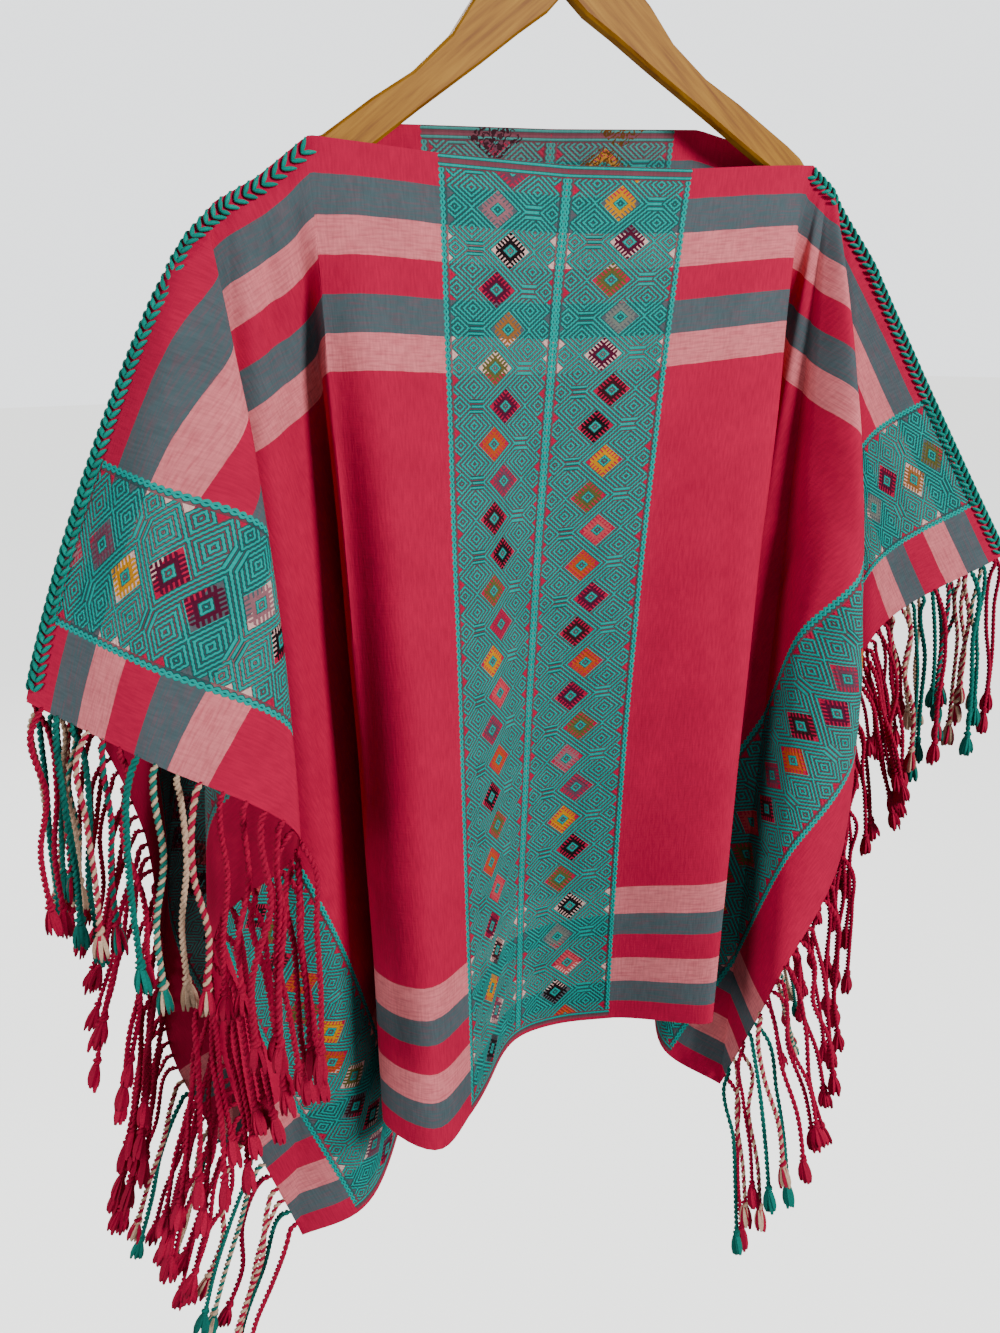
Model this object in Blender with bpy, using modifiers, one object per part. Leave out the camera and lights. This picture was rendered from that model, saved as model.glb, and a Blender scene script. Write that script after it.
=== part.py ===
"""Hand-woven poncho on a wooden hanger.

Metres, +Z up. The origin is at the inner top of the hanger's hook, where the whole thing is held, and the
front faces -Y. Two flat panels, front and back, are joined along each shoulder by a stitched seam, left open
between them for the neck, and fringed with their own warp ends along both side edges.
"""
import math

import bpy
import numpy as np

CM = 0.01

WALL = 0.0016                # cloth
FRONT_STEP = 2.9             # cm of cloth edge between two built lines
BACK_STEP = 3.3
FRONT_LEVELS = 12            # spans along a line, from the shoulder down
BACK_LEVELS = 11

STITCH_HALF = 0.0045         # the joining stitch reaches this far down each panel
STITCH_GAP = 0.0014
STITCH_NEAR = 0.034          # lines this near a ring of the stitch shape it
STITCH_WALL = 0.0010
STITCH_START = 0.8           # cm from the neck corner
STITCH_TOP_RINGS = 9         # over the shoulder's curve, at each row of its table and halfway
STITCH_SPANS = 10            # along the straight seam below it

ROOT_GAP = 0.0005            # two strands hang from each span of a panel's side edge, from a narrow strip
ROOT_WIDTH = 0.0024          # this far off the cloth, that they are fused into
ROOT_DEPTH = 0.0026
ROOT_END = 0.011             # the strip stops this far short of the cloth's corners
STRAND_TURN = 0.013          # from the strip to where a strand hangs
STRAND_WIDTH = 0.0034
KNOT_WIDTH = 0.0048
TASSEL_WIDTH = 0.0058
TASSEL_LENGTH = 0.023
STRAND_LENGTHS = (0.165, 0.157, 0.170, 0.161, 0.152)
LAYER = 0.0074               # three layers of strands, this far apart
LEAN_LEAST, LEAN_STEEP = 0.06, 0.42   # how far a strand leans away from a level and from an upright edge
LEAN_POWER = 1.6
LEAN_NEIGHBOURS = 4          # a strand leans the way that the edge faces, on average, this many roots each way

ARM_HALF_THICK = 0.0058
ARM_ROUND = 0.0022
HANGER_TILT = 3.0            # degrees, the left side lower
HOOK_WIRE = 0.0032
HOOK_INNER = 0.018
SHANK_FOOT = -0.0852         # where the wire meets the wood

# The line where both panels hang from: u is the place along the panel's straight top edge, in cm from the
# centre line, and x, y, z is where it lies. Between the two neck corners the edges are open.
NECK_LEFT, NECK_RIGHT = -20.6, 22.4
FRONT_TOP_COLUMNS = ("u", "x", "y", "z")
FRONT_TOP = (
    (-33.0, -29.0, -1.6, -32.6),
    (-30.0, -27.3, -1.3, -30.2),
    (-27.0, -25.2, -1.0, -28.1),
    (-24.0, -22.3, -0.8, -26.5),
    (-20.6, -18.8, -0.8, -23.9),
    (-15.5, -13.8, -0.7, -24.2),
    (-11.0, -9.4, -0.2, -24.4),
    (0.0, 1.3, 0.3, -24.6),
    (11.0, 12.1, -0.1, -24.4),
    (17.0, 18.1, -0.8, -24.0),
    (22.4, 23.6, -0.8, -23.7),
    (25.0, 25.3, -1.1, -25.2),
    (28.0, 26.9, -1.6, -27.6),
    (31.0, 28.6, -2.2, -30.0),
    (33.0, 29.7, -2.6, -31.7),
)
BACK_TOP = (
    (-33.0, -29.0, -1.1, -32.6),
    (-30.0, -27.3, -0.8, -30.2),
    (-27.0, -25.2, -0.3, -28.1),
    (-24.0, -22.3, 0.5, -26.5),
    (-20.6, -18.8, 0.8, -23.9),
    (-15.5, -14.2, 1.7, -22.6),
    (-13.5, -12.2, 2.1, -22.3),
    (0.0, 1.2, 2.9, -21.7),
    (13.3, 14.5, 2.7, -21.0),
    (17.0, 18.0, 2.0, -21.9),
    (22.4, 23.6, 0.7, -23.7),
    (25.0, 25.3, -0.1, -25.2),
    (28.0, 26.9, -1.0, -27.6),
    (31.0, 28.6, -1.7, -30.0),
    (33.0, 29.7, -2.1, -31.7),
)

# The folds. Each row is one straight line of cloth that hangs from the top edge at u_top and ends at the
# panel's rim at (u_end, v_end), v being cm below the top edge. x and y say where that end hangs. Its height
# follows from the length of cloth along the line, less slack, and bow moves the middle of the line.
FOLD_COLUMNS = ("name", "u_top", "u_end", "v_end", "x", "y", "bow_x", "bow_y", "slack")
FRONT_FOLDS = (
    ("left seam", -33.0, -62.0, 0.0, -41.0, -4.5, -0.8, 0.0, 0.0),
    ("left sleeve", -30.5, -62.0, 11.0, -34.6, -11.0, -0.8, -1.5, 0.0),
    ("left ridge", -28.5, -62.0, 22.6, -26.3, -14.5, 0.8, -1.0, 0.0),
    ("left tuck", -27.5, -62.0, 36.0, -31.0, -6.2, -0.5, 0.0, 0.5),
    ("left side", -27.0, -62.0, 57.0, -31.0, -4.3, 0.5, 0.0, 0.0),
    ("left corner", -26.5, -62.0, 73.0, -27.1, -5.3, 0.0, 0.0, 0.0),
    ("left band, outer", -26.0, -56.3, 73.0, -22.7, -7.5, 0.0, 0.0, 0.0),
    ("left band, inner", -25.0, -45.2, 73.0, -16.5, -2.5, 0.0, 0.0, 0.0),
    ("left valley", -22.5, -33.0, 73.0, -11.0, 1.5, 0.0, 1.0, 0.0),
    ("left column, edge", -20.6, -21.5, 73.0, -20.5, -9.6, 0.0, 0.0, 0.0),
    ("left column", -16.0, -16.0, 73.0, -17.8, -14.6, 0.0, 0.0, 0.0),
    ("centre band, left", -10.4, -11.0, 73.0, -13.8, -11.5, 0.0, 0.0, 0.0),
    ("centre line", 0.0, 0.0, 73.0, -6.1, -4.0, -0.8, 0.0, 0.0),
    ("centre band, right", 11.0, 11.2, 73.0, 2.5, -5.8, -1.0, 0.0, 0.0),
    ("right column", 21.2, 21.5, 73.0, 9.0, -12.3, 0.0, 0.0, 0.0),
    ("right valley", 22.8, 32.0, 73.0, 5.5, 0.0, 0.0, 1.5, 0.0),
    ("right band, inner", 23.6, 45.2, 73.0, 12.0, 1.5, 0.0, 0.0, 0.0),
    ("right band, outer", 24.2, 56.3, 73.0, 9.0, -6.0, 0.0, 0.0, 0.0),
    ("right corner", 24.6, 62.0, 73.0, 13.3, -8.6, 0.0, 0.0, 0.0),
    ("right side", 25.0, 62.0, 57.3, 14.5, -14.0, 0.0, 0.0, 0.0),
    ("right ridge", 25.6, 62.0, 43.0, 22.3, -12.5, 0.0, -3.0, 0.0),
    ("right tuck", 26.5, 62.0, 31.0, 28.0, -6.0, 0.0, 0.0, 1.5),
    ("right sleeve", 28.0, 62.0, 17.6, 30.5, -5.8, 0.5, 0.0, 2.0),
    ("right seam", 33.0, 62.0, 0.0, 43.0, -8.5, -0.2, 0.0, 0.0),
)
BACK_FOLDS = (
    ("left seam", -33.0, -62.0, 0.0, -41.0, -4.0, -0.8, 0.0, 0.0),
    ("left sleeve", -31.5, -62.0, 14.0, -38.0, 5.0, 0.0, 1.0, 0.0),
    ("left cuff", -30.5, -62.0, 30.0, -34.8, 1.6, 0.0, 0.5, 1.0),
    ("left edge", -29.5, -62.0, 43.0, -34.5, 3.5, 0.0, 0.5, 0.5),
    ("left side", -28.5, -62.0, 57.0, -35.0, 5.0, 0.0, 0.5, 0.0),
    ("left corner", -27.5, -62.0, 73.0, -31.0, 5.0, 0.0, 0.0, 0.0),
    ("left band, outer", -27.0, -56.3, 73.0, -28.0, 8.5, 0.0, 0.0, 0.0),
    ("left band, inner", -25.5, -45.2, 73.0, -23.0, 15.0, 0.0, 0.0, 0.0),
    ("left valley", -22.5, -33.0, 73.0, -18.0, 4.5, 0.0, 0.0, 0.0),
    ("left column", -20.0, -20.6, 73.0, -13.0, 15.0, 0.0, 0.0, 0.0),
    ("centre band, left", -10.5, -11.0, 73.0, -7.0, 6.5, 0.0, 0.0, 0.0),
    ("centre line", 0.0, 0.0, 73.0, 0.5, 14.0, 0.0, 0.0, 0.0),
    ("centre band, right", 11.0, 11.0, 73.0, 8.0, 6.0, 0.0, 0.0, 0.0),
    ("right column", 21.0, 21.5, 73.0, 13.5, 14.5, 0.0, 0.0, 0.0),
    ("right valley", 23.5, 33.0, 73.0, 17.5, 4.5, 0.0, 0.0, 0.0),
    ("right band, inner", 25.5, 45.2, 73.0, 23.5, 14.5, 0.0, 0.0, 0.0),
    ("right band, outer", 27.0, 56.3, 73.0, 26.5, 7.0, 0.0, 0.0, 0.0),
    ("right corner", 27.5, 62.0, 73.0, 28.5, 3.2, 0.0, 0.0, 0.0),
    ("right side", 28.2, 62.0, 57.0, 30.0, 3.2, 0.0, 0.0, 0.0),
    ("right edge", 29.0, 62.0, 43.0, 33.0, 4.0, 0.0, 1.0, 0.0),
    ("right cuff", 30.5, 62.0, 22.0, 39.5, 6.0, 0.0, 2.0, 0.0),
    ("right sleeve", 32.0, 62.0, 10.0, 43.5, 0.0, 0.0, 0.5, 0.0),
    ("right seam", 33.0, 62.0, 0.0, 43.0, -8.0, -0.2, 0.0, 0.0),
)

# Half of the hanger's arms before they tilt, cm: x from the middle, and the wood's lower and upper edge.
ARM_COLUMNS = ("x", "low", "high")
ARM = (
    (0.0, -13.6, -8.6),
    (1.6, -15.0, -9.0),
    (4.0, -16.4, -11.4),
    (7.0, -18.3, -14.1),
    (9.0, -19.5, -16.5),
    (12.0, -21.3, -18.8),
    (15.2, -23.3, -20.5),
    (18.0, -25.0, -22.2),
    (20.0, -26.2, -23.4),
    (21.3, -26.4, -24.3),
    (21.9, -25.9, -25.0),
)


def named(rows, columns):
    return [dict(zip(columns, row)) for row in rows]


def top_points(top, u):
    """Points of the top edge at the places u."""
    rows = named(top, FRONT_TOP_COLUMNS)
    us = [row["u"] for row in rows]
    return np.stack([np.interp(u, us, [row[axis] for row in rows]) for axis in "xyz"], axis=-1)


def smooth(stations, values, at):
    """Smooth curve through the values at the stations, read at the places given."""
    stations, values = np.asarray(stations, float), np.asarray(values, float)
    slopes = np.diff(values, axis=0) / np.diff(stations)[:, None]
    widths = np.diff(stations)[:, None]
    tangents = np.vstack([slopes[:1], (slopes[:-1] * widths[1:] + slopes[1:] * widths[:-1])
                          / (widths[1:] + widths[:-1]), slopes[-1:]])
    span = np.clip(np.searchsorted(stations, at, side="right") - 1, 0, len(stations) - 2)
    width = np.diff(stations)[span][:, None]
    t = ((at - stations[span]) / width[:, 0])[:, None]
    return ((2 * t ** 3 - 3 * t ** 2 + 1) * values[span] + (t ** 3 - 2 * t ** 2 + t) * width * tangents[span]
            + (3 * t ** 2 - 2 * t ** 3) * values[span + 1] + (t ** 3 - t ** 2) * width * tangents[span + 1])


def drape(folds, top, step, levels):
    """Lines of one hanging panel: points in metres, shaped (lines, levels + 1, 3), and the index of the line
    at each corner of the hem."""
    rows = named(folds, FOLD_COLUMNS)
    u_top = np.array([row["u_top"] for row in rows])
    rim = np.array([[row["u_end"], row["v_end"]] for row in rows])
    start = top_points(top, u_top)
    length = np.hypot(rim[:, 0] - u_top, rim[:, 1]) - [row["slack"] for row in rows]
    across = np.array([[row["x"], row["y"]] for row in rows])
    fall = np.sqrt(length ** 2 - ((across - start[:, :2]) ** 2).sum(axis=1))
    end = np.column_stack([across, start[:, 2] - fall])
    bow = np.array([[row["bow_x"], row["bow_y"], 0.0] for row in rows])
    along = np.concatenate([[0.0], np.cumsum(np.hypot(*np.diff(rim, axis=0).T))])
    table = np.column_stack([u_top, end, bow])
    corners = [i for i, row in enumerate(rows) if row["name"] in ("left corner", "right corner")]
    breaks = [0, *corners, len(rows) - 1]
    built, marks = [], []
    for first, last in zip(breaks, breaks[1:]):
        spans = max(1, round((along[last] - along[first]) / step))
        at = np.linspace(along[first], along[last], spans + 1)
        lines = smooth(along[first:last + 1], table[first:last + 1], at)
        lines[:, 0] = np.interp(at, along, u_top)
        marks.append(len(built))
        built.extend(lines if first == 0 else lines[1:])
        if first:
            marks[-1] -= 1
    built = np.array(built)
    t = np.linspace(0.0, 1.0, levels + 1)[None, :, None]
    head = top_points(top, built[:, 0])[:, None, :]
    points = head * (1 - t) + built[:, None, 1:4] * t + built[:, None, 4:7] * 4 * t * (1 - t)
    return points * CM, marks[1:]


def material(name, colour, roughness=0.9, metallic=0.0):
    made = bpy.data.materials.new(name)
    made.use_nodes = True
    shader = made.node_tree.nodes["Principled BSDF"]
    shader.inputs["Base Color"].default_value = (*colour, 1.0)
    shader.inputs["Roughness"].default_value = roughness
    shader.inputs["Metallic"].default_value = metallic
    made.diffuse_color = (*colour, 1.0)
    return made


def add_mesh(name, points, faces, made, where):
    mesh = bpy.data.meshes.new(name)
    mesh.from_pydata([tuple(map(float, point)) for point in points], [], faces)
    mesh.update()
    piece = bpy.data.objects.new(name, mesh)
    piece.data.materials.append(made)
    where.objects.link(piece)
    return piece


def strip_faces(rings, size):
    """Sides and both end faces of a closed tube: rings of points, each of the same size."""
    faces = []
    for ring in range(rings - 1):
        for k in range(size):
            a, b = ring * size + k, ring * size + (k + 1) % size
            faces.append((a, b, b + size, a + size))
    faces.append(tuple(range(size - 1, -1, -1)))
    faces.append(tuple(range((rings - 1) * size, rings * size)))
    return faces


def unit(vectors):
    return vectors / np.linalg.norm(vectors, axis=-1, keepdims=True)


def panel(name, lines, made, where):
    """A panel of cloth: a sheet through the lines, given its wall by Solidify."""
    count, levels = lines.shape[:2]
    faces = [(i * levels + j, (i + 1) * levels + j, (i + 1) * levels + j + 1, i * levels + j + 1)
             for i in range(count - 1) for j in range(levels - 1)]
    piece = add_mesh(name, lines.reshape(-1, 3), faces, made, where)
    wall = piece.modifiers.new("wall", "SOLIDIFY")
    wall.thickness = WALL
    wall.offset = 0.0
    return piece


def leans(lines, side, seam, outward, lift):
    """How far a panel leans out for each step down from its top edge, at each ring of the stitch: over the
    shoulder the most of the lines beside the ring, and below it that of the cloth beside the seam."""
    rows = lines if side < 0 else lines[::-1]
    found = []
    for ring, place in enumerate(seam):
        if ring < STITCH_TOP_RINGS:
            first = (rows[:, 1] - rows[:, 0])[np.linalg.norm(rows[:, 0] - place, axis=1) < STITCH_NEAR]
        else:
            level = (len(rows[0]) - 1) * (ring + 1 - STITCH_TOP_RINGS) / STITCH_SPANS
            low = min(int(level), len(rows[0]) - 2)
            share = level - low
            first = ((rows[1, low:low + 2] - rows[0, low:low + 2]) * [[1 - share], [share]]).sum(axis=0)[None, :]
            run = unit(rows[0, -1] - rows[0, 0])
            first = first - run * float(first[0] @ run)
        found.append(float(np.arctan2(first @ outward[ring], first @ -lift[ring]).max()))
    return np.array(found)[:, None]


def stitch(name, front, back, side, made, where):
    """The joining stitch: a folded strip over both panels' top edges from the neck corner to the side edge."""
    corner = NECK_LEFT if side < 0 else NECK_RIGHT
    knots = sorted((row[0] for row in FRONT_TOP if row[0] * side > corner * side), key=abs)
    knots.insert(0, corner + side * STITCH_START)
    us = np.interp(np.arange(STITCH_TOP_RINGS) / 2, np.arange(len(knots)), knots)
    rim = np.linspace(0.0, 1.0, STITCH_SPANS + 1)[1:]
    seams = []
    for top, lines in ((FRONT_TOP, front), (BACK_TOP, back)):
        line = lines[0] if side < 0 else lines[-1]
        stations = np.linspace(0.0, 1.0, len(line))
        seams.append(np.vstack([top_points(top, us) * CM, np.column_stack(
            [np.interp(rim, stations, line[:, axis]) for axis in range(3)])]))
    f_seam, b_seam = seams
    seam = (f_seam + b_seam) / 2
    run = unit(np.gradient(seam, axis=0))
    outward = unit(f_seam - b_seam)
    lift = unit(np.cross(outward, run)) * side
    half = np.linalg.norm(f_seam - b_seam, axis=1)[:, None] / 2 + WALL / 2 + STITCH_GAP
    top = WALL * 0.2 + STITCH_GAP
    loops = []
    for wall in (0.0, STITCH_WALL):
        tops, feet = [], []
        for edge, lines, away in ((f_seam, front, outward), (b_seam, back, -outward)):
            lean = leans(lines, side, seam, away, lift)
            down, face = away * np.sin(lean) - lift * np.cos(lean), away * np.cos(lean) + lift * np.sin(lean)
            tops.append(seam + away * (half + wall) + lift * (top + wall))
            feet.append(edge + down * STITCH_HALF + face * (WALL / 2 + STITCH_GAP + wall))
        loops.append((feet[0], tops[0], tops[1], feet[1]))
    inner, outer = loops
    ring = np.stack([inner[0], inner[1], inner[2], inner[3], outer[3], outer[2], outer[1], outer[0]], axis=1)
    faces = []
    size = 8
    for i in range(len(ring) - 1):
        for k in range(size):
            a, b = i * size + k, i * size + (k + 1) % size
            faces.append((a, b, b + size, a + size))
    for base, order in ((0, -1), ((len(ring) - 1) * size, 1)):
        for quad in ((0, 1, 6, 7), (1, 2, 5, 6), (2, 3, 4, 5)):
            faces.append(tuple(base + k for k in quad[::order]))
    if side < 0:
        faces = [face[::-1] for face in faces]
    return add_mesh(name, ring.reshape(-1, 3), faces, made, where)


def fringe(name, lines, made, where):
    """Warp ends along one side edge of a panel: a narrow strip just off the cloth, and the strands that are
    pulled out of its outer face and hang."""
    edge, inside = lines[:, -1], lines[:, -2]
    along = np.concatenate([[0.0], np.cumsum(np.linalg.norm(np.diff(edge, axis=0), axis=1))])
    starts = np.sort(np.concatenate([along[1:-1], (along[:-1] + along[1:]) / 2]))
    strands = len(starts)
    stations = np.append(np.column_stack([starts, starts + ROOT_DEPTH]).ravel(), along[-1] - ROOT_END)
    at = np.column_stack([np.interp(stations, along, edge[:, axis]) for axis in range(3)])
    run = unit(np.gradient(edge, axis=0))
    out = edge - inside
    out = unit(out - (out * run).sum(axis=1)[:, None] * run)
    face = unit(np.cross(run, out))
    run, out, face = [unit(np.column_stack([np.interp(stations, along, field[:, axis]) for axis in range(3)]))
                      for field in (run, out, face)]
    around = np.clip(np.arange(strands)[:, None] + np.arange(-LEAN_NEIGHBOURS, LEAN_NEIGHBOURS + 1), 0, strands - 1)
    away = unit(out[2 * around].mean(axis=1))
    near, far = at + out * ROOT_GAP, at + out * (ROOT_GAP + ROOT_WIDTH)
    half = face * ROOT_DEPTH / 2
    ring = np.stack([near - half, near + half, far + half, far - half], axis=1)
    points, faces = list(ring.reshape(-1, 3)), []
    for i in range(len(ring) - 1):
        for k in range(4):
            if k == 2 and i % 2 == 0:
                continue
            a, b = i * 4 + k, i * 4 + (k + 1) % 4
            faces.append((a, b, b + 4, a + 4))
    last = (len(ring) - 1) * 4
    faces += [(3, 2, 1, 0), (last, last + 1, last + 2, last + 3)]
    down = np.array([0.0, 0.0, -1.0])
    for strand in range(strands):
        i = 2 * strand
        root = [i * 4 + 2, i * 4 + 3, (i + 1) * 4 + 3, (i + 1) * 4 + 2]
        middle = (far[i] + far[i + 1]) / 2
        steep = abs(float(run[i] @ down))
        hang = unit(down + away[strand] * (LEAN_LEAST + (LEAN_STEEP - LEAN_LEAST) * steep ** LEAN_POWER))
        layer = face[i] * LAYER * (strand % 3 - 1)
        length = STRAND_LENGTHS[strand % len(STRAND_LENGTHS)]
        turn = middle + unit(out[i] + hang) * STRAND_TURN + layer
        centres = (turn, turn + hang * (length - TASSEL_LENGTH), turn + hang * length)
        previous = root
        for centre, width in zip(centres, (STRAND_WIDTH, KNOT_WIDTH, TASSEL_WIDTH)):
            depth = unit(face[i] - hang * float(face[i] @ hang)) * width / 2
            wide = unit(np.cross(hang, depth)) * width / 2
            base = len(points)
            points += [centre + depth - wide, centre - depth - wide, centre - depth + wide, centre + depth + wide]
            new = [base, base + 1, base + 2, base + 3]
            for k in range(4):
                faces.append((previous[k], previous[(k + 1) % 4], new[(k + 1) % 4], new[k]))
            previous = new
        faces.append(tuple(previous))
    return add_mesh(name, points, [face[::-1] for face in faces], made, where)


def tilt(points):
    """Turn points about the hook, the left side down."""
    angle = math.radians(HANGER_TILT)
    turn = np.array([[math.cos(angle), 0.0, -math.sin(angle)], [0.0, 1.0, 0.0],
                     [math.sin(angle), 0.0, math.cos(angle)]])
    return np.asarray(points) @ turn.T


def hanger_arms(made, where):
    half = named(ARM, ARM_COLUMNS)
    sections = [dict(row, x=-row["x"]) for row in half[:0:-1]] + half
    rings = []
    for row in sections:
        x, low, high = row["x"] * CM, row["low"] * CM, row["high"] * CM
        cut = min(ARM_ROUND, (high - low) * 0.3)
        y = ARM_HALF_THICK
        rings += [(x, -y + cut, low), (x, y - cut, low), (x, y, low + cut), (x, y, high - cut),
                  (x, y - cut, high), (x, -y + cut, high), (x, -y, high - cut), (x, -y, low + cut)]
    return add_mesh("hanger_arms", tilt(rings), strip_faces(len(sections), 8), made, where)


def hanger_hook(made, where):
    radius = HOOK_INNER + HOOK_WIRE / 2
    centre = -HOOK_INNER
    path = [(0.0, 0.0, SHANK_FOOT), (0.0, 0.0, centre - radius - 0.022), (-0.003, 0.0, centre - radius - 0.010)]
    for degree in range(235, -31, -15):
        angle = math.radians(degree)
        path.append((radius * math.cos(angle), 0.0, centre + radius * math.sin(angle)))
    curve = bpy.data.curves.new("hanger_hook", "CURVE")
    curve.dimensions = "3D"
    curve.bevel_depth = HOOK_WIRE / 2
    curve.bevel_resolution = 2
    curve.use_fill_caps = True
    spline = curve.splines.new("POLY")
    spline.points.add(len(path) - 1)
    for point, place in zip(spline.points, tilt(path)):
        point.co = (*map(float, place), 1.0)
    piece = bpy.data.objects.new("hanger_hook", curve)
    piece.data.materials.append(made)
    where.objects.link(piece)
    return piece


def main():
    for old in list(bpy.data.objects):
        bpy.data.objects.remove(old)
    where = bpy.data.collections.new("poncho_on_wooden_hanger")
    bpy.context.scene.collection.children.link(where)

    front, front_marks = drape(FRONT_FOLDS, FRONT_TOP, FRONT_STEP, FRONT_LEVELS)
    back, back_marks = drape(BACK_FOLDS, BACK_TOP, BACK_STEP, BACK_LEVELS)
    crimson = (0.45, 0.02, 0.07)
    panel("front_panel", front, material("crimson striped cotton, front", crimson), where)
    panel("back_panel", back, material("crimson striped cotton, back", crimson), where)
    stitch("stitch_left", front, back, -1, material("teal joining stitch, left", (0.01, 0.30, 0.29)), where)
    stitch("stitch_right", front, back, 1, material("teal joining stitch, right", (0.01, 0.30, 0.29)), where)
    for name, lines, marks in (("front", front, front_marks), ("back", back, back_marks)):
        fringe(f"fringe_{name}_left", lines[:marks[0] + 1],
               material(f"twisted warp ends, {name} left", (0.40, 0.03, 0.08)), where)
        fringe(f"fringe_{name}_right", lines[marks[1]:][::-1],
               material(f"twisted warp ends, {name} right", (0.40, 0.03, 0.08)), where)
    hanger_arms(material("varnished beech", (0.55, 0.33, 0.14), 0.4), where)
    hanger_hook(material("bright steel wire", (0.6, 0.6, 0.6), 0.3, 1.0), where)


main()
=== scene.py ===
"""Hand-woven poncho on a wooden hanger, dressed round its frame.

Metres, +Z up, the origin at the inner top of the hanger's hook, the front facing -Y. The two cotton panels
follow the same fold tables as the frame's solids, with finer creases, and carry their flat place (u, v) in
the UV map "flat", so the stripes and the brocade follow the cloth.
"""
import math

import bpy
import numpy as np
from mathutils import Euler, Matrix, Vector


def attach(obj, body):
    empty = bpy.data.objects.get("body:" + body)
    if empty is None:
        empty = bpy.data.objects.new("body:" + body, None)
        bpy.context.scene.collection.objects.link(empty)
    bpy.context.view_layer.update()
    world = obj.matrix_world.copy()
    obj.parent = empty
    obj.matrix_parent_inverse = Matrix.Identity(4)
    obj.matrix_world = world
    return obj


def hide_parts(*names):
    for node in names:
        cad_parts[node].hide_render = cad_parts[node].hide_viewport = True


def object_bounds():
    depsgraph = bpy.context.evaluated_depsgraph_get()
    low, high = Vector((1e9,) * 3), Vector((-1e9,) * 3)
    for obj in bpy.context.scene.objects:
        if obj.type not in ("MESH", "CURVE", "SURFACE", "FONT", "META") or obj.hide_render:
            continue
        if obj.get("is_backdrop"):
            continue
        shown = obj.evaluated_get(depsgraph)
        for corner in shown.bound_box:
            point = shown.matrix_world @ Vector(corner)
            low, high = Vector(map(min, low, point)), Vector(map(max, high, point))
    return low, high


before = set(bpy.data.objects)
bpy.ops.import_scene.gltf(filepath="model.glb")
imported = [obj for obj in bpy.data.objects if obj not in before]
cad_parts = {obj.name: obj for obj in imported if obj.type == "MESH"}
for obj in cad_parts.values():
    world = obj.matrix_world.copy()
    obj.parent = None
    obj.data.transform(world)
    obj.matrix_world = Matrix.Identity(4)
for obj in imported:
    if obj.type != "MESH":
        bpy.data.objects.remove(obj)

bl_info = {
    "name": "Hand-woven poncho",
    "version": (1, 0, 0),
    "blender": (4, 5, 0),
    "location": "View3D > Sidebar > Poncho",
    "description": "Builds a brocaded and fringed cotton poncho on its wooden hanger",
    "category": "Object",
}

MM, CM = 0.001, 0.01
SPREAD = 0.8  # cm of cloth edge between two lines of the mesh
LEVELS = 72  # spans along a line, from the shoulder down
CAD_STEPS = {"front": 2.9, "back": 3.3}  # cm between the frame's own lines, where the strands hang
CAD_LEVELS = {"front": 12, "back": 11}
RELIEF_FROM = 3.0  # cm below the joined edge where creases and swells are at their full height
CREASE_WANDER = 0.35  # of its half width that a crease strays from a straight line

STRAND_TURN = 0.013  # m from the cloth's edge to where a strand turns down
LAYER = 0.0074  # m between the three layers that the strands hang in
STRAND_LENGTHS = (0.165, 0.157, 0.170, 0.161, 0.152)
LEAN_LEAST, LEAN_STEEP, LEAN_POWER, LEAN_NEIGHBOURS = 0.06, 0.42, 1.6, 4  # how far strands lean outwards

# The line that both panels hang from, in cm: u along the straight top edge, and its place x, y, z.
NECK = {"left": -20.6, "right": 22.4}  # u of the neck's corners
FRONT_TOP = (
    (-33, -29, -1.6, -32.6), (-30, -27.3, -1.3, -30.2), (-27, -25.2, -1, -28.1),
    (-24, -22.3, -0.8, -26.5), (-20.6, -18.8, -0.8, -23.9), (-15.5, -13.8, -0.7, -24.2),
    (-11, -9.4, -0.2, -24.4), (0, 1.3, 0.3, -24.6), (11, 12.1, -0.1, -24.4),
    (17, 18.1, -0.8, -24), (22.4, 23.6, -0.8, -23.7), (25, 25.3, -1.1, -25.2),
    (28, 26.9, -1.6, -27.6), (31, 28.6, -2.2, -30), (33, 29.7, -2.6, -31.7),
)
BACK_TOP = (
    (-33, -29, -1.1, -32.6), (-30, -27.3, -0.8, -30.2), (-27, -25.2, -0.3, -28.1),
    (-24, -22.3, 0.5, -26.5), (-20.6, -18.8, 0.8, -23.9), (-15.5, -14.2, 1.7, -22.6),
    (-13.5, -12.2, 2.1, -22.3), (0, 1.2, 2.9, -21.7), (13.3, 14.5, 2.7, -21),
    (17, 18, 2, -21.9), (22.4, 23.6, 0.7, -23.7), (25, 25.3, -0.1, -25.2),
    (28, 26.9, -1, -27.6), (31, 28.6, -1.7, -30), (33, 29.7, -2.1, -31.7),
)

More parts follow.
